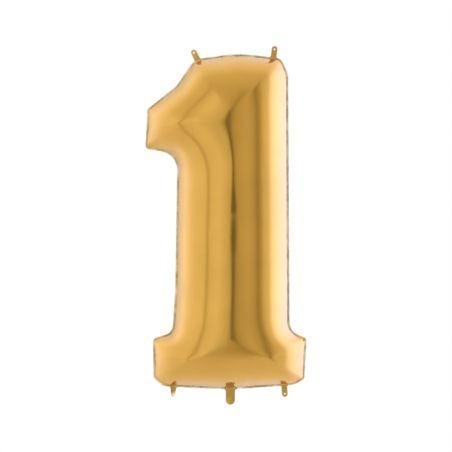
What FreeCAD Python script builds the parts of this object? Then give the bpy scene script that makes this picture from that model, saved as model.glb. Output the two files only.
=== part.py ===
"""Foil number balloon, the figure 1, inflated and about one metre tall.

Two metallised film panels are heat-sealed to each other round a flat rim, and gas blows them up into a
front and a back bulge. Four hanging tabs and an inflation neck stand out from the rim and fold at their
roots. Behind the neck a self-sealing valve of two films reaches up into the gas space.

Millimetres. +Z is up, the figure reads from the front (-Y side), and y = 0 is the plane of the seam.
The origin is the middle of the inflation neck's mouth, the lowest point of the balloon.
"""
import FreeCAD, Part
import math
import os
import Sketcher

Vector = FreeCAD.Vector

# Driving dimensions, each with its cell's alias, value and meaning.
DIMENSIONS = [
    ("film", 1.0, "wall of a panel solid"),
    ("seam_width", 5.0, "width of the heat-sealed rim"),
    ("fullness", 0.80, "half depth of the bulge over half width of the stem"),
    ("fold_gap", 0.4, "free gap between the rim and a flap's rounded root"),
    ("neck_root", 44.71, "height of the rim's edge at the neck"),
    ("neck_width", 27.0, "width of the neck"),
    ("neck_layer", 0.8, "thickness of one layer of the neck"),
    ("channel_width", 15.0, "width of the gas channel in the neck"),
    ("channel_depth", 0.35, "depth of the gas channel in one layer"),
    ("tab_width", 17.0, "width of a hanging tab"),
    ("tab_length", 32.0, "hinge line to the round end of a tab"),
    ("tab_thickness", 1.2, "both layers of a hanging tab, welded"),
    ("eyelet_radius", 2.5, "punched hole in a tab"),
    ("eyelet_inset", 9.5, "eyelet centre to the end of the tab"),
    ("valve_width", 52.0, "width of a valve film"),
    ("valve_length", 165.0, "length of a valve film inside the gas space"),
    ("valve_layer", 0.5, "thickness of one valve film"),
    ("valve_gap", 0.6, "gap between the two valve films when shut"),
    ("valve_clearance", 2.5, "rim's inner edge to the lower ends of the valve films"),
]

# Corners of the rim's outline, clockwise seen from the front: alias, x, z, rounding radius.
CORNERS = [
    ("base_left_low", -223.0, 76.0, 20.0),
    ("base_left_high", -225.0, 191.0, 14.0),
    ("left_shoulder", -168.0, 211.0, 28.0),
    ("stem_left", -160.0, 335.0, 200.0),
    ("flag_root", -154.0, 726.0, 54.0),
    ("flag_low", -247.0, 741.0, 10.0),
    ("flag_high", -241.0, 857.0, 14.0),
    ("slope_knee", -157.0, 924.0, 60.0),
    ("tab_seat_low", -110.0, 992.0, 8.0),
    ("tab_seat_high", -86.0, 1004.0, 8.0),
    ("crown", 22.0, 1020.0, 400.0),
    ("crown_right", 148.0, 1004.0, 26.0),
    ("stem_right_high", 168.0, 958.0, 60.0),
    ("right_shoulder", 172.0, 209.0, 42.0),
    ("base_right_high", 222.0, 195.0, 10.0),
    ("base_right_low", 215.0, 74.0, 14.0),
    ("foot_right", 184.0, 56.0, 30.0),
    ("foot_middle", 0.0, 43.0, 1000.0),
    ("foot_left", -194.0, 52.0, 25.0),
]

# Hanging tabs: label, the two corners whose edge carries it, and its place along that edge.
TABS = [
    ("hang_tab_top_left", "tab_seat_low", "tab_seat_high", 0.62),
    ("hang_tab_top_right", "crown", "crown_right", 0.82),
    ("hang_tab_bottom_right", "foot_right", "foot_middle", 0.15),
    ("hang_tab_bottom_left", "foot_middle", "foot_left", 0.85),
]

CELL = 8.0  # spacing of the grid on which the bulge is worked out
SWEEPS = 220  # relaxation sweeps over that grid
RELAX = 1.9  # over-relaxation of each sweep
COLUMNS = 24  # spans of the bulge surface across the figure
ROWS = 120  # spans of the bulge surface up the figure
SAMPLE = 2.0  # spacing of points along an outline
LOOK_UPS = 600  # steps of the table that spaces the surface's rows by length
EASE = 0.55  # how much closer the rows are at the foot and the crown than along the stem
OVERRUN = 5.0  # how far a cutting shape runs past the edge that it opens


# ---------------------------------------------------------------- document and sheet

doc = FreeCAD.newDocument("foil_number_balloon")
sheet = doc.addObject("Spreadsheet::Sheet", "dims")


def fill_sheet():
    """Writes every driving dimension to a cell of its own and gives the cell its alias."""
    rows = [(alias, value) for alias, value, _ in DIMENSIONS]
    for alias, x, z, radius in CORNERS:
        rows += [(alias + "_x", x), (alias + "_z", z), (alias + "_rounding", radius)]
    for number, (alias, value) in enumerate(rows, start=1):
        sheet.set(f"A{number}", alias)
        sheet.set(f"B{number}", str(value))
        sheet.setAlias(f"B{number}", alias)
    doc.recompute()


def dim(alias):
    """The sheet's value for an alias."""
    return float(sheet.get(alias))


def origin_plane(body, role):
    """One of a body's own origin planes."""
    return next(f for f in body.Origin.OriginFeatures if f.Role == role)


def new_body(label):
    body = doc.addObject("PartDesign::Body", label)
    body.Label = label
    return body


def new_sketch(body, name, role="XZ_Plane"):
    sketch = body.newObject("Sketcher::SketchObject", name)
    sketch.AttachmentSupport = [(origin_plane(body, role), "")]
    sketch.MapMode = "FlatFace"
    return sketch


def bind(sketch, constraint, expression):
    """Adds a constraint and binds its value to cells of the sheet."""
    index = sketch.addConstraint(constraint)
    sketch.setExpression(f"Constraints[{index}]", expression)
    return index


# ---------------------------------------------------------------- outline geometry


def read_corners(inset=0.0):
    """Corners as (x, z, radius), moved inwards by inset, with the roundings to match."""
    raw = [(dim(a + "_x"), dim(a + "_z"), dim(a + "_rounding")) for a, *_ in CORNERS]
    if not inset:
        return raw
    moved = []
    for k, (x, z, radius) in enumerate(raw):
        before, after = raw[k - 1], raw[(k + 1) % len(raw)]
        ax, az = unit(x - before[0], z - before[1])
        bx, bz = unit(after[0] - x, after[1] - z)
        turn = ax * bz - az * bx  # negative at an outer corner of a clockwise outline
        reach = inset / (1 + ax * bx + az * bz)
        inner = radius - inset if turn < 0 else radius + inset
        moved.append((x + (az + bz) * reach, z - (ax + bx) * reach, max(inner, 3.0)))
    return moved


def unit(x, z):
    length = math.hypot(x, z)
    return x / length, z / length


def rounding(before, corner, after):
    """The arc at a rounded corner: its start, its middle point, its end and its centre."""
    x, z, radius = corner
    ax, az = unit(before[0] - x, before[1] - z)
    bx, bz = unit(after[0] - x, after[1] - z)
    half = math.acos(max(-1.0, min(1.0, ax * bx + az * bz))) / 2
    reach = radius / math.tan(half)
    mx, mz = unit(ax + bx, az + bz)
    centre = (x + mx * radius / math.sin(half), z + mz * radius / math.sin(half))
    middle = (centre[0] - mx * radius, centre[1] - mz * radius)
    return (x + ax * reach, z + az * reach), middle, (x + bx * reach, z + bz * reach), centre


def stretch(corners, first, last):
    """Points every SAMPLE along the outline from corner first to corner last, both left sharp."""
    count = len(corners)
    steps = (last - first) % count
    path = [corners[first][:2]]
    for k in range(1, steps):
        i = (first + k) % count
        start, middle, end, _ = rounding(corners[i - 1], corners[i], corners[(i + 1) % count])
        flat = [Vector(px, 0, pz) for px, pz in (start, middle, end)]
        arc = Part.Arc(*flat).toShape()
        number = max(3, int(arc.Length / SAMPLE))
        path += [(p.x, p.z) for p in arc.discretize(number)]
    path.append(corners[last][:2])
    points = [path[0]]
    for p, q in zip(path, path[1:]):
        number = max(1, int(math.hypot(q[0] - p[0], q[1] - p[1]) / SAMPLE))
        for j in range(1, number + 1):
            points.append((p[0] + (q[0] - p[0]) * j / number, p[1] + (q[1] - p[1]) * j / number))
    return points


def lengths(points):
    total, out = 0.0, [0.0]
    for p, q in zip(points, points[1:]):
        total += math.hypot(q[0] - p[0], q[1] - p[1])
        out.append(total)
    return out


def look_up(keys, values, key):
    """Linear interpolation of values at key, where keys rise."""
    low, high = 0, len(keys) - 1
    while high - low > 1:
        middle = (low + high) // 2
        if keys[middle] <= key:
            low = middle
        else:
            high = middle
    share = (key - keys[low]) / ((keys[high] - keys[low]) or 1.0)
    a, b = values[low], values[high]
    if isinstance(a, tuple):
        return tuple(p + (q - p) * share for p, q in zip(a, b))
    return a + (b - a) * share


# ---------------------------------------------------------------- bulge


def distance(points, x, z):
    """Shortest distance from (x, z) to a closed run of points."""
    best = 1e18
    for (ax, az), (bx, bz) in zip(points, points[1:] + points[:1]):
        dx, dz = bx - ax, bz - az
        t = max(0.0, min(1.0, ((x - ax) * dx + (z - az) * dz) / ((dx * dx + dz * dz) or 1.0)))
        gap = (x - ax - t * dx) ** 2 + (z - az - t * dz) ** 2
        best = min(best, gap)
    return math.sqrt(best)


def inside(points, x, z):
    hit = False
    for (ax, az), (bx, bz) in zip(points, points[1:] + points[:1]):
        if (az > z) != (bz > z) and x < ax + (z - az) * (bx - ax) / (bz - az):
            hit = not hit
    return hit


def soap_film(points):
    """Height squared of a bulge over the outline, as a function of (x, z).

    A strip of half width a gets a * a - x * x, so the square root of it is a round section. It is the
    solution of a membrane under pressure, relaxed on a grid, times the distance to the outline near it.
    """
    low_x, high_x = min(p[0] for p in points), max(p[0] for p in points)
    low_z, high_z = min(p[1] for p in points), max(p[1] for p in points)
    nx, nz = int((high_x - low_x) / CELL) + 3, int((high_z - low_z) / CELL) + 3
    x0, z0 = low_x - CELL, low_z - CELL
    coarse = points[::3]
    free = [
        (i, k)
        for i in range(1, nx)
        for k in range(1, nz)
        if inside(coarse, x0 + i * CELL, z0 + k * CELL)
    ]
    grid = [[0.0] * (nz + 1) for _ in range(nx + 1)]
    for _ in range(SWEEPS):
        for i, k in free:
            around = grid[i - 1][k] + grid[i + 1][k] + grid[i][k - 1] + grid[i][k + 1]
            grid[i][k] += RELAX * ((around + 2 * CELL * CELL) / 4 - grid[i][k])
    inner = set(free)

    def height_squared(x, z):
        gap = distance(coarse, x, z)
        i, k = int((x - x0) / CELL), int((z - z0) / CELL)
        fx, fz = (x - x0) / CELL - i, (z - z0) / CELL - k
        plain = slope = weight = 0.0
        for di, dk in ((0, 0), (1, 0), (0, 1), (1, 1)):
            w = (fx if di else 1 - fx) * (fz if dk else 1 - fz)
            plain += w * grid[i + di][k + dk]
            if (i + di, k + dk) in inner:
                w += 1e-6
                near = distance(coarse, x0 + (i + di) * CELL, z0 + (k + dk) * CELL)
                slope += w * grid[i + di][k + dk] / max(near, CELL / 4)
                weight += w
        edge = slope / weight * gap if weight else 0.0
        share = max(0.0, min(1.0, gap / CELL / 2 - 0.5))
        return edge + (plain - edge) * share

    return height_squared


def bulge_net():
    """Poles of the bulge's outer surface, in rows up the figure, standing on the rim's front face."""
    corners = read_corners(dim("seam_width"))
    index = {name: k for k, (name, *_) in enumerate(CORNERS)}
    a, b = index["base_left_low"], index["tab_seat_low"]
    c, d = index["stem_right_high"], index["base_right_low"]
    left, top = stretch(corners, a, b), stretch(corners, b, c)
    right, foot = stretch(corners, c, d)[::-1], stretch(corners, d, a)[::-1]
    squared = soap_film(left + top[1:] + right[::-1][1:] + foot[::-1][1:-1])

    steps = [j / LOOK_UPS for j in range(LOOK_UPS + 1)]
    left_s = lengths([at_rise(left, j) for j in steps])
    right_s = lengths([at_rise(right, j) for j in steps])
    mean = [(p + q) / 2 for p, q in zip(left_s, right_s)]
    foot_s, top_s = lengths(foot), lengths(top)

    net = []
    for row in range(ROWS + 1):
        part = row / ROWS
        share = part - math.sin(2 * math.pi * part) / (2 * math.pi) * EASE
        v = look_up(mean, steps, share * mean[-1])
        side = at_rise(left, v), at_rise(right, v)
        line = []
        for column in range(COLUMNS + 1):
            u = (1 - math.cos(math.pi * column / COLUMNS)) / 2
            ends = look_up(foot_s, foot, u * foot_s[-1]), look_up(top_s, top, u * top_s[-1])
            flat = []
            for n in (0, 1):
                corner = (1 - u) * (1 - v) * foot[0][n] + u * (1 - v) * foot[-1][n]
                corner += (1 - u) * v * top[0][n] + u * v * top[-1][n]
                across = (1 - u) * side[0][n] + u * side[1][n]
                flat.append(across + (1 - v) * ends[0][n] + v * ends[1][n] - corner)
            edge = row in (0, ROWS) or column in (0, COLUMNS)
            high = 0.0 if edge else dim("fullness") * math.sqrt(max(squared(*flat), 0.0))
            line.append(Vector(flat[0], -dim("film") - high, flat[1]))
        net.append(line)
    return net


def at_rise(run, v):
    """The point of an upward run at share v of its height."""
    heights = [p[1] for p in run]
    return look_up(heights, run, heights[0] + v * (heights[-1] - heights[0]))


def sunk(net, depth):
    """The same net moved inwards by depth along its normals; its border stays in its own plane."""
    rows, columns = len(net) - 1, len(net[0]) - 1
    moved = []
    for r in range(rows + 1):
        line = []
        for c in range(columns + 1):
            up = net[min(r + 1, rows)][c] - net[max(r - 1, 0)][c]
            over = net[r][min(c + 1, columns)] - net[r][max(c - 1, 0)]
            out = over.cross(up)
            if r in (0, rows) or c in (0, columns):
                out = Vector(0, 0, 0)
                if r in (0, rows):
                    side = Vector(over.z, 0, -over.x) * (1 if r == 0 else -1)
                    out += side.normalize()
                if c in (0, columns):
                    side = Vector(-up.z, 0, up.x) * (1 if c == 0 else -1)
                    out += side.normalize()
                out = out * (1.0 if out.Length < 1.01 else 2 / out.Length**2)
            else:
                out.normalize()
            line.append(net[r][c] - out * depth)
        moved.append(line)
    return moved


def border(net):
    """Closed wire round the edge of the surface a net holds."""
    return Part.Wire(Part.__sortEdges__(draped(net).toShape().Edges))


def bulge_ring(net):
    """Wall of the bulge: an outer and an inner skin, open below, both ending on the rim's front face."""
    skins = [draped(net).toShape(), draped(sunk(net, dim("film"))).toShape()]
    loops = [Part.Wire(Part.__sortEdges__(skin.Edges)) for skin in skins]
    sole = Part.makeFace(loops, "Part::FaceMakerBullseye")
    shell = Part.makeShell(skins + [sole])
    shell.sewShape()
    solid = Part.makeSolid(shell)
    return solid if solid.Volume > 0 else solid.reversed()


def opening(net):
    """Prism through the rim, under the middle of the bulge's wall."""
    wire = border(sunk(net, dim("film") / 2))
    wire.translate(Vector(0, 3 * dim("film"), 0))
    return Part.Face(wire).extrude(Vector(0, -6 * dim("film"), 0))


def draped(grid):
    """Cubic surface held by a net of poles, so it can't ripple or cross itself between them."""
    ends = [4] + [1] * (len(grid) - 4) + [4], [4] + [1] * (len(grid[0]) - 4) + [4]
    knots = [[float(k) for k in range(len(mults))] for mults in ends]
    surface = Part.BSplineSurface()
    surface.buildFromPolesMultsKnots(grid, ends[0], ends[1], knots[0], knots[1], False, False, 3, 3)
    return surface


# ---------------------------------------------------------------- pieces


def rim_blank():
    """Flat plate of the whole figure, one film thick: the rim of a panel before the gas space is cut."""
    body = new_body("front_rim_blank")
    sketch = new_sketch(body, "rim_outline")
    corners = read_corners()
    arcs, lines, points = [], [], []
    count = len(corners)
    shapes = [rounding(corners[k - 1], corners[k], corners[(k + 1) % count]) for k in range(count)]
    for k, (start, middle, end, centre) in enumerate(shapes):
        following = shapes[(k + 1) % len(shapes)][0]
        flat = [Vector(px, pz, 0) for px, pz in (start, middle, end, following)]
        arcs.append(sketch.addGeometry(Part.Arc(flat[0], flat[1], flat[2])))
        lines.append(sketch.addGeometry(Part.LineSegment(flat[2], flat[3])))
        points.append(sketch.addGeometry(Part.Point(Vector(corners[k][0], corners[k][1], 0)), True))
    for k, (name, *_) in enumerate(CORNERS):
        arc, line, before = arcs[k], lines[k], lines[k - 1]
        first, last = arc_ends(sketch, arc, shapes[k][0])
        sketch.addConstraint(Sketcher.Constraint("Tangent", before, 2, arc, first))
        sketch.addConstraint(Sketcher.Constraint("Tangent", arc, last, line, 1))
        sketch.addConstraint(Sketcher.Constraint("PointOnObject", points[k], 1, before))
        sketch.addConstraint(Sketcher.Constraint("PointOnObject", points[k], 1, line))
        bind(sketch, Sketcher.Constraint("Radius", arc, corners[k][2]), f"dims.{name}_rounding")
        bind(sketch, Sketcher.Constraint("DistanceX", -1, 1, points[k], 1, corners[k][0]), f"dims.{name}_x")
        bind(sketch, Sketcher.Constraint("DistanceY", -1, 1, points[k], 1, corners[k][1]), f"dims.{name}_z")
    pad = body.newObject("PartDesign::Pad", "rim_pad")
    pad.Profile = sketch
    pad.setExpression("Length", "dims.film")
    return body


def arc_ends(sketch, arc, start):
    """Which end of an arc is its start on the outline: a sketch stores every arc anticlockwise."""
    p = sketch.getPoint(arc, 1)
    same = math.hypot(p.x - start[0], p.y - start[1]) < 1e-6
    return (1, 2) if same else (2, 1)


def panel(label):
    """The front panel: the rim with its opening and the valve's slot, and the bulge's wall round it."""
    net = bulge_net()
    inner = doc.addObject("Part::Feature", "gas_opening")
    inner.Shape = opening(net)
    ring = doc.addObject("Part::Cut", "front_rim")
    ring.Base, ring.Tool = rim_blank(), inner
    slot = doc.addObject("Part::Box", "valve_slot")
    slot.setExpression("Length", "dims.channel_width")
    slot.setExpression("Width", "dims.channel_depth")
    slot.setExpression("Height", "dims.seam_width + 6")
    corner = Vector(-dim("channel_width") / 2, -dim("channel_depth"), dim("neck_root") - 2)
    slot.Placement = FreeCAD.Placement(corner, FreeCAD.Rotation())
    slotted = doc.addObject("Part::Cut", "slotted_rim")
    slotted.Base, slotted.Tool = ring, slot
    wall = doc.addObject("Part::Feature", "bulge_wall")
    wall.Shape = bulge_ring(net)
    joined = doc.addObject("Part::Fuse", label)
    joined.Base, joined.Tool = slotted, wall
    joined.Label = label
    return joined


def mirrored(label, source):
    """The same piece on the back of the balloon."""
    twin = doc.addObject("Part::Mirroring", label)
    twin.Source = source
    twin.Normal = Vector(0, 1, 0)
    twin.Base = Vector(0, 0, 0)
    twin.Label = label
    return twin


def tongue(sketch, width, length):
    """A strip that hangs down from the sketch's origin and ends in a half circle."""
    half, straight = width / 2, length - width / 2
    corners = [Vector(-half, 0, 0), Vector(half, 0, 0)]
    corners += [Vector(half, -straight, 0), Vector(-half, -straight, 0)]
    top = sketch.addGeometry(Part.LineSegment(corners[0], corners[1]))
    right = sketch.addGeometry(Part.LineSegment(corners[1], corners[2]))
    left = sketch.addGeometry(Part.LineSegment(corners[3], corners[0]))
    end = sketch.addGeometry(Part.Arc(corners[2], Vector(0, -length, 0), corners[3]))
    first, last = arc_ends(sketch, end, (half, -straight))
    sketch.addConstraint(Sketcher.Constraint("Coincident", top, 2, right, 1))
    sketch.addConstraint(Sketcher.Constraint("Coincident", left, 2, top, 1))
    sketch.addConstraint(Sketcher.Constraint("Tangent", right, 2, end, first))
    sketch.addConstraint(Sketcher.Constraint("Tangent", end, last, left, 1))
    sketch.addConstraint(Sketcher.Constraint("Horizontal", top))
    sketch.addConstraint(Sketcher.Constraint("Vertical", right))
    sketch.addConstraint(Sketcher.Constraint("Symmetric", top, 1, top, 2, -1, 1))
    return top, end


def flap_frame(x, z, lean):
    """Placement of a flap whose hinge line passes (x, z) and which points down, turned by lean degrees."""
    return FreeCAD.Placement(Vector(x, 0, z), FreeCAD.Rotation(Vector(0, 1, 0), lean))


def hanging_tab(label, first, second, share):
    """A welded tab with its eyelet, its root rounded about the fold line just off the rim."""
    body = new_body(label)
    sketch = new_sketch(body, label + "_outline")
    top, end = tongue(sketch, dim("tab_width"), dim("tab_length"))
    bind(sketch, Sketcher.Constraint("DistanceX", top, 1, top, 2, dim("tab_width")), "dims.tab_width")
    rest = dim("tab_length") - dim("tab_width") / 2
    bind(
        sketch,
        Sketcher.Constraint("DistanceY", end, 3, -1, 1, rest),
        "dims.tab_length - dims.tab_width / 2",
    )
    pad = body.newObject("PartDesign::Pad", label + "_pad")
    pad.Profile = sketch
    pad.Midplane = True
    pad.setExpression("Length", "dims.tab_thickness")
    rounded_root(body, label, "tab_width", "tab_thickness / 2", Vector(0, 1, 0), 180.0)

    punch = new_sketch(body, label + "_eyelet")
    deep = dim("tab_length") - dim("eyelet_inset")
    hole = punch.addGeometry(Part.Circle(Vector(0, -deep, 0), Vector(0, 0, 1), dim("eyelet_radius")))
    bind(punch, Sketcher.Constraint("Radius", hole, dim("eyelet_radius")), "dims.eyelet_radius")
    punch.addConstraint(Sketcher.Constraint("PointOnObject", hole, 3, -2))
    bind(
        punch,
        Sketcher.Constraint("DistanceY", hole, 3, -1, 1, deep),
        "dims.tab_length - dims.eyelet_inset",
    )
    pocket = body.newObject("PartDesign::Pocket", label + "_punch")
    pocket.Profile = punch
    pocket.Type = "ThroughAll"
    pocket.Midplane = True

    (ax, az), (bx, bz) = [(dim(n + "_x"), dim(n + "_z")) for n in (first, second)]
    along = unit(bx - ax, bz - az)
    out = (-along[1], along[0])
    gap = dim("fold_gap") + dim("tab_thickness") / 2
    x = ax + (bx - ax) * share + out[0] * gap
    z = az + (bz - az) * share + out[1] * gap
    body.Placement = flap_frame(x, z, math.degrees(math.atan2(-out[0], -out[1])))
    return body


def rounded_root(body, label, width, radius, start, sweep):
    """Rounds a flap's root about its hinge line, from the start direction through sweep degrees."""
    side = Vector(1, 0, 0)
    round_end = body.newObject("PartDesign::AdditiveCylinder", label + "_root")
    round_end.setExpression("Height", f"dims.{width}")
    round_end.setExpression("Radius", f"dims.{radius}")
    round_end.Angle = sweep
    turn = FreeCAD.Rotation(start, side.cross(start), side, "ZXY")
    round_end.Placement = FreeCAD.Placement(Vector(-dim(width) / 2, 0, 0), turn)


def neck_layer():
    """Front layer of the inflation neck, with half of the gas channel sunk into its inner face."""
    label = "neck_front_film"
    body = new_body(label)
    sketch = new_sketch(body, "neck_outline")
    long = dim("neck_root") - dim("fold_gap") - dim("neck_layer")
    top, end = tongue(sketch, dim("neck_width"), long)
    bind(sketch, Sketcher.Constraint("DistanceX", top, 1, top, 2, dim("neck_width")), "dims.neck_width")
    bind(
        sketch,
        Sketcher.Constraint("DistanceY", end, 3, -1, 1, long - dim("neck_width") / 2),
        "dims.neck_root - dims.fold_gap - dims.neck_layer - dims.neck_width / 2",
    )
    pad = body.newObject("PartDesign::Pad", "neck_pad")
    pad.Profile = sketch
    pad.setExpression("Length", "dims.neck_layer")
    rounded_root(body, "neck", "neck_width", "neck_layer", Vector(0, 0, 1), 90.0)

    groove = new_sketch(body, "neck_channel")
    half, reach = dim("channel_width") / 2, long + OVERRUN
    box = [Vector(-half, OVERRUN, 0), Vector(half, OVERRUN, 0)]
    box += [Vector(half, -reach, 0), Vector(-half, -reach, 0)]
    sides = [groove.addGeometry(Part.LineSegment(p, q)) for p, q in zip(box, box[1:] + box[:1])]
    for k in range(4):
        groove.addConstraint(Sketcher.Constraint("Coincident", sides[k], 2, sides[(k + 1) % 4], 1))
    for k, kind in ((1, "Vertical"), (2, "Horizontal"), (3, "Vertical")):
        groove.addConstraint(Sketcher.Constraint(kind, sides[k]))
    groove.addConstraint(Sketcher.Constraint("Symmetric", sides[0], 1, sides[0], 2, -2))
    bind(
        groove,
        Sketcher.Constraint("DistanceX", sides[0], 1, sides[0], 2, 2 * half),
        "dims.channel_width",
    )
    groove.addConstraint(Sketcher.Constraint("DistanceY", -1, 1, sides[0], 1, OVERRUN))
    groove.addConstraint(Sketcher.Constraint("DistanceY", sides[2], 1, -1, 1, reach))
    pocket = body.newObject("PartDesign::Pocket", "neck_channel_cut")
    pocket.Profile = groove
    pocket.Reversed = True
    pocket.setExpression("Length", "dims.channel_depth")
    body.Placement = flap_frame(0.0, long, 0.0)
    return body


def valve_film():
    """Front film of the self-sealing valve, free above the seam and hinged just inside it."""
    label = "valve_front_film"
    body = new_body(label)
    sketch = new_sketch(body, "valve_outline")
    half, long = dim("valve_width") / 2, dim("valve_length")
    box = [Vector(-half, 0, 0), Vector(half, 0, 0), Vector(half, long, 0), Vector(-half, long, 0)]
    sides = [sketch.addGeometry(Part.LineSegment(p, q)) for p, q in zip(box, box[1:] + box[:1])]
    for k in range(4):
        sketch.addConstraint(Sketcher.Constraint("Coincident", sides[k], 2, sides[(k + 1) % 4], 1))
    for k, kind in enumerate(("Horizontal", "Vertical", "Horizontal", "Vertical")):
        sketch.addConstraint(Sketcher.Constraint(kind, sides[k]))
    sketch.addConstraint(Sketcher.Constraint("Symmetric", sides[0], 1, sides[0], 2, -1, 1))
    bind(sketch, Sketcher.Constraint("DistanceX", sides[0], 1, sides[0], 2, 2 * half), "dims.valve_width")
    bind(sketch, Sketcher.Constraint("DistanceY", sides[1], 1, sides[1], 2, long), "dims.valve_length")
    pad = body.newObject("PartDesign::Pad", "valve_pad")
    pad.Profile = sketch
    pad.setExpression("Length", "dims.valve_layer")
    body.Placement = FreeCAD.Placement(
        Vector(0, -dim("valve_gap") / 2, valve_root()), FreeCAD.Rotation()
    )
    return body


def valve_root():
    """Height of the valve films' lower ends, clear above the panels' seam."""
    return dim("neck_root") + dim("seam_width") + dim("valve_clearance")


def check(pieces):
    """Stops if any object failed, or if a piece isn't a valid solid."""
    for item in doc.Objects:
        if "Invalid" in item.State or "Error" in item.State:
            raise RuntimeError(f"{item.Name} failed: {item.State}")
    for piece in pieces:
        shape = piece.Shape
        if shape.isNull() or not shape.isValid() or not shape.Solids or shape.Volume <= 0:
            raise RuntimeError(f"{piece.Label} is not a valid solid")
        box = shape.BoundBox
        print(
            f"{piece.Label}: {len(shape.Solids)} solid, {shape.Volume / 1000:.2f} cm3, "
            f"x {box.XMin:.2f} {box.XMax:.2f}, y {box.YMin:.2f} {box.YMax:.2f}, "
            f"z {box.ZMin:.2f} {box.ZMax:.2f}"
        )


def main():
    fill_sheet()
    front, neck, valve = panel("front_panel"), neck_layer(), valve_film()
    pieces = [front, neck, valve]
    pieces.append(mirrored("back_panel", front))
    pieces.append(mirrored("neck_back_film", neck))
    pieces.append(mirrored("valve_back_film", valve))
    pieces += [hanging_tab(*row) for row in TABS]
    doc.recompute()
    check(pieces)
    os.makedirs("parts", exist_ok=True)
    for piece in pieces:
        piece.Shape.exportStep(f"parts/{piece.Label}.step")


main()
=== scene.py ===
"""Foil number balloon, the figure 1: film panels, seam, tabs, neck and valve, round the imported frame."""

import math

import bpy
import numpy as np
from mathutils import Matrix, Vector
from mathutils.geometry import delaunay_2d_cdt


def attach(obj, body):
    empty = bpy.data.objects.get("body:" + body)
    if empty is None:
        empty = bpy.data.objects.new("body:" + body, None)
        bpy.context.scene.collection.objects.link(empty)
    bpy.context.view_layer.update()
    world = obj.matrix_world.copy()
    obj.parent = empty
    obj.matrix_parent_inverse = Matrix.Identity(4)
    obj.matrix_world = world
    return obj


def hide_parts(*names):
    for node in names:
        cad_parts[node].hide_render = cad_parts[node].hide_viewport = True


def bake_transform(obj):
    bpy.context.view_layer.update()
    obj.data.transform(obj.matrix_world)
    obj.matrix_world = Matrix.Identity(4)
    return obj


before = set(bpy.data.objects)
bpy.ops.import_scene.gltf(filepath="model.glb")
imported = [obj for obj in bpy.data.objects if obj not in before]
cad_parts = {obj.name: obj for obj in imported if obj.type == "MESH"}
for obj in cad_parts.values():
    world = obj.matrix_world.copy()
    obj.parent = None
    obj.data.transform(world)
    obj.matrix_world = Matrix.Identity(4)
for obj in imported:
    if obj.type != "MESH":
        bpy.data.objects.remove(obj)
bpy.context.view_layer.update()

MM = 0.001
SEAM = 4.2 * MM  # width of the heat-sealed rim that shows
HALF_WELD = 0.25 * MM  # outer face of a film at the rim, from the middle of the weld
WELD_ROOT = 0.5 * MM  # how much further out the film stands where the bulge leaves the weld

# The bulge. Distances marked "from the seam" are measured in the figure's plane.
STEM = 163.0 * MM  # half width of the stem
FOOT_TOP = 210.0 * MM  # height of the foot's shoulders
FOOT_FULL = 1.2  # how much tighter the foot is blown up than the stem
BLEND = 60.0 * MM  # distance over which a limb's bulge changes to the next one's
LENS = 0.225  # how far the stem's section is from a half circle: 0 is a half circle
LENS_RISE = 1.1  # how fast that grows as a limb gets narrower
NARROWEST = 30.0 * MM  # half width below which it grows no further
HAUNCH = 0.62  # share of the half width over which a wide limb is round, before it flattens to its ridge
NARROW, WIDE = 85.0 * MM, 145.0 * MM  # half widths between which a limb turns from soft to ridged
RIDGE, CORNER = 5.5 * MM, 20.0 * MM  # rounding of the ridges in the figure's middle, and near its corners
CORNER_END, RIDGE_START = 60.0 * MM, 120.0 * MM  # from the seam: where one rounding gives way to the other

# Gathers, the pinched folds that run from the seam into the bulge.
GATHER = 2.6 * MM  # depth of a full one
SPACING, REACH, WIDTH = (0.014, 0.032), (0.018, 0.05), (0.0038, 0.0065)  # their ranges, in metres
GATHER_START = 7.0 * MM  # from the seam: where gathers reach their full depth
SWELL, SWELL_FADE = 0.35, 35.0 * MM  # swelling beside them: its height as a share of GATHER, its reach
RIM_BEND, RIM_DRAW = 1.6 * MM, 0.9 * MM  # how far a gather bends the rim out of its plane, and draws it in
RIM_FADE = 20.0 * MM  # along the film: over which both die out
ROOT_FADE = 6.0 * MM  # along the film: over which it comes back from WELD_ROOT

# Corners of the rim's outline in millimetres, clockwise from the front: x, z, rounding. They are part.py's.
CORNERS = [
    (-223, 76, 20), (-225, 191, 14), (-168, 211, 28), (-160, 335, 200), (-154, 726, 54),
    (-247, 741, 10), (-241, 857, 14), (-157, 924, 60), (-110, 992, 8), (-86, 1004, 8),
    (22, 1020, 400), (148, 1004, 26), (168, 958, 60), (172, 209, 42), (222, 195, 10),
    (215, 74, 14), (184, 56, 30), (0, 43, 1000), (-194, 52, 25),
]

# Hanging tabs: corners of the edge that carries it, share along that edge, twist in degrees, and how far
# its end curls back and draws up, in millimetres.
TABS = {
    "top_left": (8, 9, 0.62, 14, 3.0, 0.6),
    "top_right": (10, 11, 0.82, -16, -2.5, 0.5),
    "bottom_right": (16, 17, 0.15, 15, 3.5, 0.8),
    "bottom_left": (17, 18, 0.85, 72, -5.0, 5.0),
}
EYELET, EYELET_INSET = 2.5 * MM, 9.5 * MM  # its radius, and its distance from the tab's end
TAB_WIDTH, TAB_LENGTH, TAB_FILM = 17.0 * MM, 33.0 * MM, 0.36 * MM
NECK_WIDTH, NECK_ROOT, NECK_FILM = 27.0 * MM, 44.71 * MM, 0.16 * MM
TAB_FLARE, NECK_FLARE = 3.0 * MM, 5.5 * MM  # how much wider a flap's shoulders are, on each side
FLAP_INSET = 3.5 * MM  # how far a flap reaches in between the two rims
VALVE_WIDTH, VALVE_START, VALVE_LENGTH, VALVE_FILM = 52.0 * MM, 7.5 * MM, 165.0 * MM, 0.12 * MM


# ---------------------------------------------------------------- outline


ARC_STEP = 0.4  # spacing of the points on a rounded corner, in millimetres
TIGHTEST = 3.0  # smallest rounding, in millimetres


def unit(v):
    """The vector in the plane, with length 1."""
    return v / np.hypot(v[0], v[1])


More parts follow.
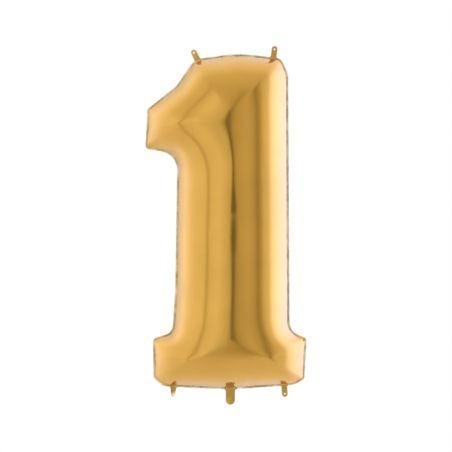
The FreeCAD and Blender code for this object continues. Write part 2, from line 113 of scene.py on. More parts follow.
def shifted(corners, inset):
    """The corners moved inwards by inset, with roundings to match, but not under TIGHTEST."""
    moved = []
    for k, (x, z, radius) in enumerate(corners):
        here = np.array((x, z), float)
        a = unit(here - np.array(corners[k - 1][:2], float))
        b = unit(np.array(corners[(k + 1) % len(corners)][:2], float) - here)
        turn = a[0] * b[1] - a[1] * b[0]
        p = here + np.array((a[1] + b[1], -a[0] - b[0])) * inset / (1 + a @ b)
        moved.append((p[0], p[1], max(radius + (inset if turn > 0 else -inset), TIGHTEST)))
    return moved


def outline(corners, step):
    """Points every step along the outline, the outward normal and place of each, and the whole length."""
    path, normals = [], []
    for k, (x, z, radius) in enumerate(corners):
        here = np.array((x, z), float)
        a = unit(np.array(corners[k - 1][:2], float) - here)
        b = unit(np.array(corners[(k + 1) % len(corners)][:2], float) - here)
        half = math.acos(np.clip(a @ b, -1, 1)) / 2
        middle = unit(a + b)
        centre = here + middle * radius / math.sin(half)
        start = here + a * radius / math.tan(half) - centre
        end = here + b * radius / math.tan(half) - centre
        first = math.atan2(start[1], start[0])
        sweep = (math.atan2(end[1], end[0]) - first + math.pi) % (2 * math.pi) - math.pi
        number = max(6, int(abs(sweep) * radius / ARC_STEP))
        for j in range(number + 1):
            t = first + sweep * j / number
            ray = np.array((math.cos(t), math.sin(t)))
            path.append(centre + radius * ray)
            normals.append(ray if sweep < 0 else -ray)
    path, normals = np.array(path + path[:1]), np.array(normals + normals[:1])
    length = np.r_[0, np.cumsum(np.hypot(*np.diff(path, axis=0).T))]
    count = int(length[-1] / step)
    s = np.arange(count) * length[-1] / count
    points = np.c_[np.interp(s, length, path[:, 0]), np.interp(s, length, path[:, 1])]
    n = np.c_[np.interp(s, length, normals[:, 0]), np.interp(s, length, normals[:, 1])]
    n /= np.linalg.norm(n, axis=1)[:, None]
    return points, n, s, length[-1]


def to_outline(points, loop):
    """Distance from each point to a closed loop, and the loop position (in points) nearest to it."""
    a, b = loop, np.roll(loop, -1, axis=0)
    edge = b - a
    best, where = np.full(len(points), 1e9), np.zeros(len(points))
    for first in range(0, len(points), 2000):
        p = points[first : first + 2000, None, :]
        t = np.clip(((p - a) * edge).sum(2) / (edge**2).sum(1), 0, 1)
        gap = np.hypot(*np.moveaxis(p - a - t[..., None] * edge, 2, 0))
        k = gap.argmin(1)
        rows = np.arange(len(k))
        best[first : first + 2000] = gap[rows, k]
        where[first : first + 2000] = k + t[rows, k]
    return best, where


def inside(points, loop):
    """Which points lie inside a closed loop."""
    hit = np.zeros(len(points), bool)
    x, z = points.T
    for (ax, az), (bx, bz) in zip(loop, np.roll(loop, -1, axis=0)):
        if az != bz:
            hit ^= ((az > z) != (bz > z)) & (x < ax + (z - az) * (bx - ax) / (bz - az))
    return hit


# ---------------------------------------------------------------- flat mesh of a panel


def panel_mesh():
    """Flat mesh of the figure inside the rim, built in millimetres and returned in metres.

    Its points, the faces of the two bands next to the rim, the other faces, how many points a ring has, the
    outward normals and places of the outermost ring, its length, and a finer copy of that ring.
    """
    spacing, pitch = 4.5, 5.0  # of the points along the seam, and of the grid in the middle
    ringed = 22.5  # width of the part that is laid out in rings
    ring, n, s, around = outline(shifted(CORNERS, SEAM / MM), spacing)
    rings = [ring - n * d for d in (0.0, 1.2, 2.6)]
    count = len(ring)
    band = []
    for k in range(len(rings) - 1):
        for j in range(count):
            a, b = k * count + j, k * count + (j + 1) % count
            band.append((a, b, b + count, a + count))
    fence = rings[-1]
    fine = outline(shifted(CORNERS, SEAM / MM), 1.0)[0]
    inner = []
    for d in (4.4, 6.6, 9.2, 12.2, 15.6, 19.4):
        p = ring - n * d
        gap, _ = to_outline(p, fine)
        p = p[(gap > d * 0.985) & inside(p, fence)]
        inner.append(p[spaced(p, 2.4)])
    xs = np.arange(ring[:, 0].min(), ring[:, 0].max(), pitch)
    zs = np.arange(ring[:, 1].min(), ring[:, 1].max(), pitch * math.sqrt(0.75))
    grid = np.array([(x + pitch / 2 * (j % 2), z) for j, z in enumerate(zs) for x in xs])
    grid = grid[inside(grid, fence)]
    gap, _ = to_outline(grid, fine)
    inner.append(grid[gap > ringed])
    rest = grid[(gap <= ringed) & (gap > 3.5)]
    placed = np.vstack(inner)
    for p in rest:  # fills the corners that the rings skip
        if np.hypot(*(placed - p).T).min() > 0.84 * pitch:
            inner.append(p[None])
            placed = np.vstack([placed, p[None]])
    points = np.vstack([fence] + inner)
    loop = [(j, (j + 1) % count) for j in range(count)]
    out = delaunay_2d_cdt([Vector(p) for p in points], loop, [], 1, 1e-4)
    flat = np.array([tuple(p) for p in out[0]])
    if len(flat) != len(points):
        raise RuntimeError("the triangulation merged points")
    first = count * (len(rings) - 1)
    faces = [tuple(i + first for i in f) for f in out[2]]
    points = np.vstack(rings[:-1] + [flat])
    return points * MM, band, faces, count, n, s * MM, around * MM, fine * MM


def spaced(points, least):
    """Indices of a ring's points, leaving out those less than least from the last one kept."""
    keep, last = [], None
    for k, p in enumerate(points):
        if last is None or np.hypot(*(p - last)) > least:
            keep.append(k)
            last = p
    return keep


# ---------------------------------------------------------------- bulge


class Surface:
    """Linear finite elements on a flat triangulation."""

    def __init__(self, points, triangles):
        self.n = len(points)
        p = points[triangles]
        pairs, weights = [], []
        for k in range(3):
            i, j, o = triangles[:, (k + 1) % 3], triangles[:, (k + 2) % 3], k
            u, v = p[:, (k + 1) % 3] - p[:, o], p[:, (k + 2) % 3] - p[:, o]
            cross = np.abs(u[:, 0] * v[:, 1] - u[:, 1] * v[:, 0])
            area = cross / 2
            pairs.append(np.c_[i, j])
            weights.append((u * v).sum(1) / np.maximum(cross, 1e-15) / 2)
        pairs, self.weight = np.vstack(pairs), np.hstack(weights)
        self.i, self.j = pairs.T
        self.mass = np.bincount(triangles.ravel(), np.repeat(area / 3, 3), self.n)
        self.diagonal = np.bincount(self.i, self.weight, self.n) + np.bincount(self.j, self.weight, self.n)

    def stiff(self, x):
        """Stiffness matrix times x."""
        flow = self.weight * (x[self.i] - x[self.j])
        return np.bincount(self.i, flow, self.n) - np.bincount(self.j, flow, self.n)

    def solve(self, scale, density, right, held=None, steps=1500):
        """Conjugate gradients for (scale * stiffness + density * mass) x = right, with x = 0 where held."""
        free = np.ones(self.n) if held is None else (~held).astype(float)
        diagonal = np.maximum(scale * self.diagonal + density * self.mass, 1e-18)
        x = np.zeros(self.n)
        r = right * free
        z = r / diagonal * free
        p, rz = z.copy(), r @ z
        first = rz
        for _ in range(steps):
            ap = (scale * self.stiff(p) + density * self.mass * p) * free
            a = rz / (p @ ap)
            x += a * p
            r -= a * ap
            z = r / diagonal * free
            new = r @ z
            if new < first * 1e-16:
                break
            p = z + new / rz * p
            rz = new
        return x


def local_radius(points, triangles, gap):
    """Radius of the largest circle inside the outline that covers each point, and whether one was found.

    A circle's centre is a point with no neighbour that lies straight away from the seam.
    """
    straight = 0.93  # share of the way to a neighbour that has to be a gain in distance from the seam
    least = 8.0 * MM  # radius of the smallest circle
    i, j = triangles.ravel(), np.roll(triangles, 1, axis=1).ravel()
    length = np.hypot(*(points[i] - points[j]).T)
    buried = np.zeros(len(points), bool)
    buried[i[gap[j] > gap[i] + straight * length]] = True
    buried[j[gap[i] > gap[j] + straight * length]] = True
    centres = np.flatnonzero(~buried & (gap > least))
    centres = centres[np.argsort(-gap[centres])]
    radius = np.zeros(len(points))
    for c in centres:
        near = (radius == 0) & (np.hypot(*(points - points[c]).T) < gap[c])
        radius[near] = gap[c]
    return np.maximum(radius, gap), (radius > 0).astype(float)


def smooth_step(value, low, high):
    """0 below low, 1 above high, with a smooth change between."""
    t = np.clip((value - low) / (high - low), 0, 1)
    return t * t * (3 - 2 * t)


def stretched(points):
    """The plan with its foot drawn out, for measuring how full the film is: the foot is blown up tighter."""
    x, z = points.T
    return np.c_[x, z - (FOOT_FULL - 1) * np.clip(FOOT_TOP - z, 0, None)]


def bulge_height(points, triangles, held, gap):
    """Height of the bulge above the seam's plane, and each point's limb radius.

    The height is round along the limbs, with a ridge along the stem.
    """
    film = Surface(points, triangles)
    soft = film.solve(1.0, np.zeros(film.n), 2 * film.mass, held)
    radius, known = local_radius(stretched(points), triangles, gap)
    radius = film.solve(BLEND**2, known + 1e-3, film.mass * (known + 1e-3) * radius)
    full = np.maximum(radius, gap)
    tube = np.minimum(full, STEM)
    haunch = HAUNCH * tube
    low = tube**2 - (tube - np.minimum(gap, haunch)) ** 2
    reach = full - haunch
    rise = 1 - (np.clip(full - gap, 0, reach) / reach) ** 2
    vault = low + (1 - HAUNCH) * tube * reach * np.where(gap > haunch, rise, 0)
    limb = soft + (vault - soft) * smooth_step(full, NARROW, WIDE)
    even = np.ones(film.n)
    ridged, rounded = (
        film.solve(width**2, even, film.mass * (limb + 2 * width**2), held) for width in (RIDGE, CORNER)
    )
    q = rounded + (ridged - rounded) * smooth_step(gap, CORNER_END, RIDGE_START)
    q[held] = 0
    sunk = LENS * STEM * (STEM / np.maximum(radius, NARROWEST)) ** LENS_RISE
    return np.sqrt(np.clip(q, 0, None) + sunk**2) - sunk, radius


# ---------------------------------------------------------------- gathers along the seam


def tab_places():
    """Middle of each flap's root on the rim's edge, its outward direction and half its width."""
    places = {}
    for name, (a, b, share, *_rest) in TABS.items():
        p, q = np.array(CORNERS[a][:2], float) * MM, np.array(CORNERS[b][:2], float) * MM
        along = unit(q - p)
        places[name] = (p + (q - p) * share, np.array((-along[1], along[0])), TAB_WIDTH / 2)
    places["neck"] = (np.array((0.0, NECK_ROOT)), np.array((0.0, -1.0)), NECK_WIDTH / 2)
    return places


def gathers(ring, n, s, around):
    """Pinched folds along the seam: place, strength, reach, width, lean and which way the rim bends."""
    rng = np.random.default_rng(11)
    places = tab_places()
    clear = 12.0 * MM  # distance kept from the ends of the loop, and over which gathers die out at a flap
    flag_tip, foot = -0.19, 0.2  # x and z of the limbs' ends, where the film is gathered more
    folds, at = [], clear
    while at < around - clear:
        p = np.array((np.interp(at, s, ring[:, 0]), np.interp(at, s, ring[:, 1])))
        end = abs(np.interp(at, s, n[:, 1])) ** 1.5
        tip = 1.0 if (p[0] < flag_tip or p[1] < foot) else 0.0
        strength = 0.45 + 0.55 * max(end, 0.8 * tip)
        free = min(np.hypot(*(p - m)) - w for m, _, w in places.values())
        strength *= np.clip(free / clear, 0.0, 1)
        folds.append((
            at,
            strength * rng.uniform(0.6, 1.25),
            rng.uniform(*REACH) * (0.8 + 0.7 * end),
            rng.uniform(*WIDTH),
            rng.uniform(-0.25, 0.25),
            rng.choice((-1.0, 1.0)),
        ))
        at += rng.uniform(*SPACING) * (1.2 - 0.4 * end)
    return folds


def seam_wave(folds, s, around):
    """How far the rim is bent out of its plane, and drawn inwards, at each place along it."""
    bend, draw = np.zeros(len(s)), np.zeros(len(s))
    for at, strength, _, width, _, way in folds:
        off = (s - at + around / 2) % around - around / 2
        bell = np.exp(-((off / (width * 1.5)) ** 2))
        bend += way * strength * RIM_BEND * bell
        draw += strength * RIM_DRAW * bell
    return bend, draw


def fold_depth(folds, s, along, around, side):
    """Depth of the gathers in a film, as a share of GATHER, at distance along from the seam, on one side."""
    rng = np.random.default_rng(23 if side < 0 else 29)
    depth = np.zeros(len(s))
    for at, strength, reach, width, lean, way in folds:
        more = rng.uniform(0.6, 1.3) * (1.25 if way * side > 0 else 0.8)
        long = reach * rng.uniform(0.75, 1.3)
        tilt = lean + rng.uniform(-0.12, 0.12)
        off = (s - at - tilt * along + around / 2) % around - around / 2
        wide = width * (1 + 1.3 * along / long)
        pinch = np.exp(-np.abs(off / wide) ** 1.6)
        depth += strength * more * pinch * np.exp(-((along / long) ** 1.5))
    return depth


# ---------------------------------------------------------------- meshes


def make_object(name, vertices, faces, smooth=True):
    """A new mesh object in the scene."""
    mesh = bpy.data.meshes.new(name)
    mesh.from_pydata([tuple(map(float, v)) for v in vertices], [], [tuple(map(int, f)) for f in faces])
    mesh.validate()
    mesh.update()
    mesh.polygons.foreach_set("use_smooth", [smooth] * len(mesh.polygons))
    piece = bpy.data.objects.new(name, mesh)
    bpy.context.scene.collection.objects.link(piece)
    return piece


def normals_of(vertices, triangles):
    """Normal at each vertex, from the triangles round it."""
    a, b, c = (vertices[triangles[:, k]] for k in range(3))
    face = np.cross(b - a, c - a)
    out = np.zeros_like(vertices)
    for k in range(3):
        np.add.at(out, triangles[:, k], face)
    return out / np.maximum(np.linalg.norm(out, axis=1), 1e-15)[:, None]


def flap_roots(ring):
    """Which points of the ring lie behind the root of a flap, where the flap is cut in one with the rim."""
    rooted = np.zeros(len(ring), bool)
    for middle, out, half in tab_places().values():
        off = ring - middle
        rooted |= (np.abs(off @ (-out[1], out[0])) < half) & (np.abs(off @ out) < 2 * SEAM)
    return rooted


def facing(points, face):
    """The face, turned so that it runs clockwise in the figure's plane."""
    return face if turn_of(points, face) < 0 else face[::-1]


def make_panels(skin, crease, weld, flap):
    """Front and back panel, each a bulge with its half of the sealed rim."""
    points, band, faces, count, n, s, around, fine = panel_mesh()
    ring = points[:count]
    triangles = np.array([(a, b, c) for a, b, c, d in band] + [(a, c, d) for a, b, c, d in band] + faces)
    held = np.arange(len(points)) < count
    gap, where = to_outline(stretched(points), stretched(fine))
    gap[:count] = 0
    height, radius = bulge_height(points, triangles, held, gap)
    place = where / len(fine) * around
    folds = gathers(ring, n, s, around)
    bend, draw = seam_wave(folds, place, around)
    rim_bend, rim_draw = seam_wave(folds, s, around)
    slope = np.clip(1 - gap / np.maximum(radius, 20.0 * MM), -1, 1)
    along = radius * np.arccos(slope) * 0.9  # roughly the distance from the seam along the film
    inward = np.c_[-np.interp(place, s, n[:, 0]), -np.interp(place, s, n[:, 1])]
    flat_faces = [facing(points, f) for f in band + faces]
    root = smooth_step(gap, 0.0, GATHER_START)
    fade = np.exp(-((along / RIM_FADE) ** 1.2))
    root_lift = WELD_ROOT * np.exp(-((along / ROOT_FADE) ** 1.5))
    swell = SWELL * np.exp(-((along / SWELL_FADE) ** 1.5)) * root
    panels = []
    for side, name in ((-1.0, "film_front_panel"), (1.0, "film_back_panel")):
        body = np.c_[points[:, 0], side * (height + HALF_WELD + root_lift), points[:, 1]]
        body[:, 1] += bend * fade
        body[:, 0] += inward[:, 0] * draw * fade
        body[:, 2] += inward[:, 1] * draw * fade
        normal = normals_of(body, triangles)
        normal *= np.sign((normal[:, 1] * side).sum())
        depth = fold_depth(folds, place, along, around, side) * root
        body -= normal * ((depth - swell) * GATHER)[:, None]
        rim = rim_rows(ring, n, rim_bend, rim_draw, side)
        total = len(body)
        rows = [np.arange(count)] + [total + k * count + np.arange(count) for k in range(len(rim))]
        strips = []
        for lower, upper in zip(rows, rows[1:]):
            for j in range(count):
                i = (j + 1) % count
                strips.append((lower[j], upper[j], upper[i], lower[i]))
        vertices = np.vstack([body] + rim)
        every = flat_faces + [facing(vertices[:, ::2], f) for f in strips]
        if side < 0:
            every = [f[::-1] for f in every]
        piece = make_object(name, vertices, every)
        finish = np.zeros(len(every), int)  # skin
        finish[len(flat_faces) :] = 1  # painted crease shade, on the rim's two inner strips
        # the rest of the rim: the weld finish, whose pale colour is painted reflection, or the flap finish
        # behind a flap's root
        finish[len(flat_faces) + 2 * count :] = np.tile(np.where(flap_roots(ring), 3, 2), len(rim) - 2)
        for material in (skin, crease, weld, flap):
            piece.data.materials.append(material)
        piece.data.polygons.foreach_set("material_index", finish)
        panels.append(piece)
    return panels


def rim_rows(ring, n, bend, draw, side):
    """The rim's rows of points, from the bulge out to the cut edge, where the two films meet."""
    shares = (0.2, 0.38, 0.7, 0.96, 1.0)  # of the rim's width
    rows = []
    for share in shares:
        edge = 0.4 if share == shares[-1] else 1.0
        half = HALF_WELD * edge + WELD_ROOT * (1 - share) ** 1.3
        plan = ring + n * share * SEAM - n * draw[:, None]
        rows.append(np.c_[plan[:, 0], bend * (1 + 0.5 * share) + side * half, plan[:, 1]])
    return rows


def turn_of(points, face):
    """Twice the face's signed area in the plane."""
    p = points[list(face)]
    q = np.roll(p, -1, axis=0)
    return (p[:, 0] * q[:, 1] - p[:, 1] * q[:, 0]).sum()


# ---------------------------------------------------------------- flaps


def flap_frame(root, out):
    """Matrix to the frame from a flap's own axes: x across, y front to back, z away from the rim."""
    matrix = Matrix.Identity(4)
    across = Vector((-out[1], 0, out[0]))
    for k, axis in enumerate((across, Vector((0, 1, 0)), Vector((out[0], 0, out[1])))):
        for row in range(3):
            matrix[row][k] = axis[row]
    matrix.translation = (root[0], 0, root[1])
    return matrix


def flap_plan(half, length, flare, hole, pitch):
    """Plan of a flap, a tongue with flared shoulders and a round end: its points and faces."""
    edge = [(half + flare, -FLAP_INSET)]
    for t in np.linspace(0, 1, 9):  # shoulder, from the rim down to the tongue
        a = t * math.pi / 2
        edge.append((half + flare * (1 - math.sin(a)), flare * 1.3 * (1 - math.cos(a))))
    straight = length - half
    for z in np.arange(edge[-1][1] + pitch, straight - pitch / 2, pitch):
        edge.append((half, z))
    for a in np.linspace(0, math.pi / 2, 12):
        edge.append((half * math.cos(a), straight + half * math.sin(a)))
    edge = edge + [(-x, z) for x, z in edge[-2::-1]]
    bottom = np.linspace(-half - flare, half + flare, int(2 * (half + flare) / pitch) + 1)[1:-1]
    edge = np.array(edge + [(x, -FLAP_INSET) for x in bottom])
    points, loops = [edge], [[(k, (k + 1) % len(edge)) for k in range(len(edge))]]
    if hole:
        centre, radius = hole  # its distance from the rim's edge, and its radius
        sides, collar = 28, 1.35 * radius  # a second ring of points keeps the faces round the hole even
        angles = np.linspace(0, 2 * math.pi, sides, endpoint=False)
        first = len(edge)
        loops.append([(first + k, first + (k + 1) % sides) for k in range(sides)])
        points += [np.c_[wide * np.cos(angles), centre + wide * np.sin(angles)] for wide in (radius, collar)]
    grid = np.array([(x, z) for x in np.arange(-half - flare, half + flare, pitch)
                     for z in np.arange(-FLAP_INSET, length, pitch)])
    grid = grid[inside(grid, edge)]
    gap, _ = to_outline(grid, edge)
    grid = grid[gap > pitch * 0.6]
    if hole:
        grid = grid[np.hypot(grid[:, 0], grid[:, 1] - centre) > collar + pitch * 0.5]
    points = np.vstack(points + [grid])
    out = delaunay_2d_cdt([Vector(p) for p in points], sum(loops, []), [], 1, 1e-7)
    flat = np.array([tuple(p) for p in out[0]])
    faces = [tuple(f) for f in out[2]]
    if hole:
        middle = np.array([flat[list(f)].mean(0) for f in faces])
        keep = np.hypot(middle[:, 0], middle[:, 1] - centre) > radius * 0.985
        faces = [f for f, k in zip(faces, keep) if k]
    return flat, faces


def closed_film(name, flat, faces, thickness, bend):
    """Closed thin solid over a plan (x across, z along), carried to its bent place by bend(x, z, y)."""
    count = len(flat)
    sheets = [bend(flat[:, 0], flat[:, 1], np.full(count, y)) for y in (-thickness / 2, thickness / 2)]
    front = [f if turn_of(flat, f) > 0 else f[::-1] for f in faces]
    back = [tuple(i + count for i in f[::-1]) for f in front]
    sides = {(a, b) for f in front for a, b in zip(f, f[1:] + f[:1])}
    walls = [(b, a, a + count, b + count) for a, b in sides if (b, a) not in sides]
    return make_object(name, np.vstack(sheets), front + back + walls)


def make_tab(name, material):
    """A hanging tab with its eyelet, welded between the two panels' rims."""
    *_, twist, curl, tail = TABS[name]
    root, out, half = tab_places()[name]
    hole = (TAB_LENGTH - EYELET_INSET, EYELET)
    flat, faces = flap_plan(half, TAB_LENGTH, TAB_FLARE, hole, 1.6 * MM)

    def bend(x, z, y):
        share = np.clip(z / TAB_LENGTH, 0, 1)
        angle = np.radians(twist) * share**0.8
        wavy = 0.5 * MM * np.sin(z / TAB_LENGTH * 7 + twist) * share
        across = x * np.cos(angle) - y * np.sin(angle)
        depth = x * np.sin(angle) + y * np.cos(angle) + curl * MM * share**2 + wavy
        return np.c_[across, depth, z - tail * MM * share**2]

    piece = closed_film(f"film_tab_{name}", flat, faces, TAB_FILM, bend)
    piece.data.transform(flap_frame(root, out))
    piece.data.materials.append(material)
    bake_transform(piece)
    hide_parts(f"hang_tab_{name}")


def make_neck(material):
    """Two film layers of the inflation neck, joined along their sides and parted a little at the mouth."""
    root, out, half = tab_places()["neck"]
    flat, faces = flap_plan(half, NECK_ROOT, NECK_FLARE, None, 1.8 * MM)
    for side, name in ((-1.0, "front"), (1.0, "back")):

        def bend(x, z, y):
            share = np.clip(z / NECK_ROOT, 0, 1)
            free = np.clip(1 - np.abs(x / half) ** 2.5, 0, 1)
            mouth = 1.8 * np.clip((share - 0.35) / 0.65, 0, 1) ** 1.5
            part = (0.35 * np.clip(share / 0.12, 0, 1) + mouth) * MM * free
            creased = 0.35 * MM * np.sin(x / half * 3 + 5 * share) * share
            return np.c_[x, side * (0.12 * MM + part) + y + creased - 1.5 * MM * share**2, z]

        piece = closed_film(f"film_neck_{name}", flat, faces, NECK_FILM, bend)
        piece.data.transform(flap_frame(root, out))
        piece.data.materials.append(material)
        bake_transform(piece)
        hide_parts(f"neck_{name}_film")


def make_valve(material):
    """Two clear films that lie on each other behind the neck, inside the gas space."""
    wide, foot = VALVE_WIDTH / 2, NECK_ROOT + VALVE_START
    top = foot + VALVE_LENGTH
    columns, rows = 15, 45
    xs, zs = np.linspace(-wide, wide, columns), np.linspace(foot, top, rows)
    flat = np.array([(x, z) for z in zs for x in xs])
    faces = []
    for k in range(rows - 1):
        for a in range(k * columns, (k + 1) * columns - 1):
            faces.append((a, a + 1, a + 1 + columns, a + columns))
    for side, name in ((-1.0, "front"), (1.0, "back")):

        def bend(x, z, y):
            rise = (z - foot) / (top - foot)
            slack = 0.5 * MM * rise * (1 + np.sin(x / wide * 4 + z * 60))
            return np.c_[x, side * (0.45 * MM + slack) + y, z]

        piece = closed_film(f"film_valve_{name}", flat, faces, VALVE_FILM, bend)
        piece.data.materials.append(material)
        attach(piece, f"valve_{name}")
        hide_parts(f"valve_{name}_film")


# ---------------------------------------------------------------- materials


class Nodes:
    """Short hand for building a node tree."""

    def __init__(self, tree):
        self.tree = tree
        self.tree.nodes.clear()

    def add(self, kind, inputs=None, **settings):
        node = self.tree.nodes.new(kind)
        for key, value in settings.items():
            setattr(node, key, value)
        for key, value in (inputs or {}).items():
            if isinstance(value, bpy.types.NodeSocket):
                self.tree.links.new(value, node.inputs[key])
            else:
                node.inputs[key].default_value = value
        return node

    def math(self, operation, *values):
        node = self.add("ShaderNodeMath", dict(enumerate(values)), operation=operation)
        return node.outputs[0]

    def smooth(self, value, angles, results):
        """Smooth change between two results, as the value passes the sines of two angles in degrees."""
        low, high = (math.sin(math.radians(a)) for a in angles)
        return self.add("ShaderNodeMapRange", {
            "Value": value, "From Min": low, "From Max": high, "To Min": results[0], "To Max": results[1],
        }, interpolation_type="SMOOTHSTEP").outputs[0]

    def ramp(self, factor, stops):
        node = self.add("ShaderNodeValToRGB", {0: factor})
        ramp = node.color_ramp
        while len(ramp.elements) > 1:
            ramp.elements.remove(ramp.elements[-1])
        ramp.elements[0].position, ramp.elements[0].color = stops[0]
        for position, colour in stops[1:]:
            ramp.elements.new(position).color = colour
        return node.outputs[0]


def new_material(name):
    """An empty material and its nodes."""
    material = bpy.data.materials.new(name)
    material.use_nodes = True
    return material, Nodes(material.node_tree)


def plain(name, colour, roughness):
    """A dull material of one colour."""
    material, n = new_material(name)
    shader = n.add("ShaderNodeBsdfPrincipled", {"Base Color": colour + (1,), "Roughness": roughness})
    n.add("ShaderNodeOutputMaterial", {"Surface": shader.outputs[0]})
    return material


def foil(name, colour, roughness, crease=1.0, coat=0.55, patches=(0.955, 1.03, 7.0), metal=1.0):
    """Gold metallised film under clear lacquer, with fine handling creases and a slight change of tone.

    Patches gives the tone of the darkest and the lightest patches, and how fine they are.
    """
    darkest, lightest, scale = patches
    material, n = new_material(name)
    where = n.add("ShaderNodeTexCoord").outputs["Object"]
    broad = n.add("ShaderNodeTexNoise", {"Vector": where, "Scale": scale, "Detail": 3.0, "Roughness": 0.5})
    fine = n.add("ShaderNodeTexNoise", {"Vector": where, "Scale": 160.0, "Detail": 4.0, "Roughness": 0.55})
    stretch = n.add("ShaderNodeMapping", {"Vector": where, "Scale": (28.0, 28.0, 9.0)})
    wave = n.add("ShaderNodeTexNoise", {"Vector": stretch.outputs[0], "Scale": 1.0, "Detail": 2.0})
    dark = tuple(darkest * c for c in colour) + (1,)
    light = tuple(min(0.98, lightest * c) for c in colour) + (1,)
    tone = n.ramp(broad.outputs["Fac"], [(0.38, dark), (0.62, light)])
    rough = n.add("ShaderNodeMapRange", {
        "Value": fine.outputs["Fac"], "From Min": 0.3, "From Max": 0.7,
        "To Min": roughness * 0.9, "To Max": roughness * 1.15,
    }).outputs[0]
    ripple = n.add("ShaderNodeBump", {
        "Height": wave.outputs["Fac"], "Strength": 0.25 * crease, "Distance": 0.6 * MM,
    })
    bump = n.add("ShaderNodeBump", {
        "Height": fine.outputs["Fac"], "Strength": 0.12 * crease, "Distance": 0.1 * MM,
        "Normal": ripple.outputs[0],
    })
    shader = n.add("ShaderNodeBsdfPrincipled", {
        "Base Color": tone, "Metallic": metal, "Roughness": rough, "Normal": bump.outputs[0],
        "Coat Weight": coat, "Coat Roughness": 0.12, "Coat IOR": 1.45,
    })
    n.add("ShaderNodeOutputMaterial", {"Surface": shader.outputs[0]})
    return material


def clear_film(name):
    """Milky clear polyethylene."""
    material, n = new_material(name)
    where = n.add("ShaderNodeTexCoord").outputs["Object"]
    cloud = n.add("ShaderNodeTexNoise", {"Vector": where, "Scale": 30.0, "Detail": 2.0})
    tone = n.ramp(cloud.outputs["Fac"], [(0.3, (0.80, 0.82, 0.81, 1)), (0.7, (0.88, 0.89, 0.88, 1))])
    shader = n.add("ShaderNodeBsdfPrincipled", {
        "Base Color": tone, "Roughness": 0.35, "IOR": 1.5, "Transmission Weight": 0.7,
    })
    n.add("ShaderNodeOutputMaterial", {"Surface": shader.outputs[0]})
    return material


# ---------------------------------------------------------------- studio


STUDIO_PEAK = 5.5  # brightness that a colour of 1 stands for in the two lists
AROUND = [  # azimuth from the camera's side towards the figure's right, and brightness
    (-180, 0.8), (-146, 0.86), (-129, 1.14), (-116, 1.32), (-106, 1.24), (-96, 1.11), (-84, 1.02),
    (-64, 0.97), (-59, 0.95), (-54, 0.64), (-48, 0.93), (-30, 1.0), (-12, 0.80), (-4, 0.76),
    (0, 0.62), (5, 0.48), (10, 0.56), (17, 0.64), (33, 0.71), (46, 0.62), (54, 0.42), (61, 0.55),
    (66, 0.75), (72, 0.88), (80, 0.97), (87, 1.38), (96, 1.68), (105, 1.8), (116, 1.78),
    (132, 1.62), (150, 1.35), (180, 0.8),
]
ABOVE = [  # angle from the camera's side over the top towards the back, and brightness
    (-180, 1.1), (-135, 1.08), (-110, 0.98), (-90, 0.92), (-59, 0.86), (-28, 0.76), (0, 0.56),
    (30, 0.62), (63, 0.74), (80, 0.81), (103, 1.04), (136, 1.14), (180, 1.1),
]


def light_colour(level):
    """Studio light of that brightness: warm where it's dim, cool where it's bright."""
    dim, white, bright = np.array((1, 0.87, 0.44)), np.ones(3), np.array((0.93, 1.03, 2.3))
    t = np.clip((level - 0.2) / 0.8, 0, 1)
    colour = dim * (1 - t) + white * t
    if level > 1:
        t = min(level - 1, 1)
        colour = white * (1 - t) + bright * t
    return tuple(colour * level / STUDIO_PEAK) + (1,)


def make_floor():
    """Pale floor, well below the hanging balloon."""
    radius, height, sides = 6.0, -2.0, 64
    angles = [2 * math.pi * k / sides for k in range(sides)]
    ring = [(radius * math.cos(a), radius * math.sin(a), height) for a in angles]
    floor = make_object("studio_floor", ring, [tuple(range(sides))], smooth=False)
    floor.data.materials.append(plain("pale_floor", (0.95, 0.93, 0.84), 0.8))
    floor.visible_glossy = False


def camera_body():
    """The camera itself, small and dark on its stand: it only shows as a reflection in the foil."""
    left, right, bottom, top, front = -0.13, 0.24, 0.507, 0.556, -1.4
    corners = [(left, front, bottom), (right, front, bottom), (right, front, top), (left, front, top)]
    piece = make_object("studio_camera_body", corners, [(0, 1, 2, 3)], smooth=False)
    piece.data.materials.append(plain("camera_black", (0.02, 0.018, 0.015), 0.6))
    piece.visible_camera = piece.visible_diffuse = piece.visible_shadow = False


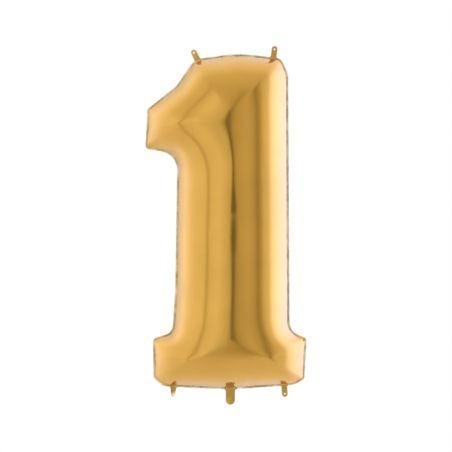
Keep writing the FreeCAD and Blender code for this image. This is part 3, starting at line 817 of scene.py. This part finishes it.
def studio():
    """Soft light from all round, with the darker parts of the room in front."""
    world = bpy.data.worlds.new("studio")
    world.use_nodes = True
    bpy.context.scene.world = world
    n = Nodes(world.node_tree)
    ray = n.add("ShaderNodeTexCoord").outputs["Generated"]
    x, y, z = n.add("ShaderNodeSeparateXYZ", {0: ray}).outputs
    front = n.math("MULTIPLY", y, -1.0)
    turn = n.math("DIVIDE", n.math("ARCTAN2", x, front), 2 * math.pi)
    rise = n.math("DIVIDE", n.math("ARCSINE", z), math.pi)
    over = n.math("DIVIDE", n.math("ARCTAN2", z, front), 2 * math.pi)
    side = n.ramp(n.math("ADD", turn, 0.5), [((a + 180) / 360, light_colour(b)) for a, b in AROUND])
    top = n.ramp(n.math("ADD", over, 0.5), [((a + 180) / 360, light_colour(b)) for a, b in ABOVE])
    steep = n.smooth(n.math("ABSOLUTE", z), (20, 65), (0.0, 1.0))
    both = n.add("ShaderNodeMix", {0: steep, 6: side, 7: top}, data_type="RGBA").outputs[2]
    # a dark stand in front: narrow, and reaching down towards the floor
    azimuth, half_width, height, half_height, darkening = 1.0, 5.2, 1.5, 6.0, 0.64
    across = n.math("SUBTRACT", turn, azimuth / 360)
    across = n.math("POWER", n.math("MULTIPLY", across, 360 / half_width), 2.0)
    up = n.math("ADD", rise, -height / 180)
    up = n.math("POWER", n.math("MULTIPLY", up, 180 / half_height), 6.0)
    spot = n.math("EXPONENT", n.math("MULTIPLY", n.math("ADD", across, up), -1.0))
    shade = n.math("SUBTRACT", 1.0, n.math("MULTIPLY", spot, darkening))
    # the lower half of the room is a little darker than the upper half
    shade = n.math("MULTIPLY", shade, n.smooth(z, (-9, 0), (0.94, 1.0)))
    room = n.add("ShaderNodeBackground", {0: both, 1: n.math("MULTIPLY", shade, STUDIO_PEAK)})
    white = n.add("ShaderNodeBackground", {0: (1, 1, 1, 1), 1: 1.0})
    seen = n.add("ShaderNodeLightPath").outputs["Is Camera Ray"]
    mixed = n.add("ShaderNodeMixShader", {0: seen, 1: room.outputs[0], 2: white.outputs[0]})
    n.add("ShaderNodeOutputWorld", {0: mixed.outputs[0]})


def camera():
    """Long lens, level with the middle of the figure."""
    far, across = 7.0, 1.3108  # distance, and width of the picture at that distance
    data = bpy.data.cameras.new("camera")
    piece = bpy.data.objects.new("camera", data)
    bpy.context.scene.collection.objects.link(piece)
    piece.location = (-0.01255, -far, 0.5177)
    piece.rotation_euler = (math.pi / 2, 0, 0)
    data.sensor_width = 36
    data.lens = data.sensor_width * far / across
    data.clip_end = 100
    bpy.context.scene.camera = piece
    bpy.context.scene.view_settings.view_transform = "Standard"


def main():
    """The whole balloon and its studio."""
    skin = foil("gold_film", (0.75, 0.42, 0.075), 0.13)
    # painted shade: the crease finish, a duller, greyer gold with darker patches, stands in for the shadow
    # in the crease where the bulge leaves the weld
    crease = foil("gold_film_painted_crease_shade", (0.76, 0.60, 0.36), 0.42, 0.5, 0.2, (0.5, 1.3, 26.0), 0.8)
    # weld finish: rougher, half-metal film of the sealed rim, with a pale, greyed colour that is painted
    # reflection of the white studio light
    weld = foil("gold_film_weld_painted_reflection", (0.96, 0.87, 0.66), 0.50, 0.5, 0.3, (0.7, 1.05, 26.0), 0.5)
    flap = foil("gold_film_flap", (0.72, 0.45, 0.12), 0.36, 0.8, 0.3)
    panels = make_panels(skin, crease, weld, flap)
    nodes, slots = ("front_panel", "back_panel"), ("gold_foil_front", "gold_foil_back")
    for piece, node, slot in zip(panels, nodes, slots):
        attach(piece, "envelope")
        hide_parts(node)
    for name in TABS:
        make_tab(name, flap)
    make_neck(flap)
    make_valve(clear_film("valve_film"))
    make_floor()
    camera_body()
    studio()
    camera()


main()
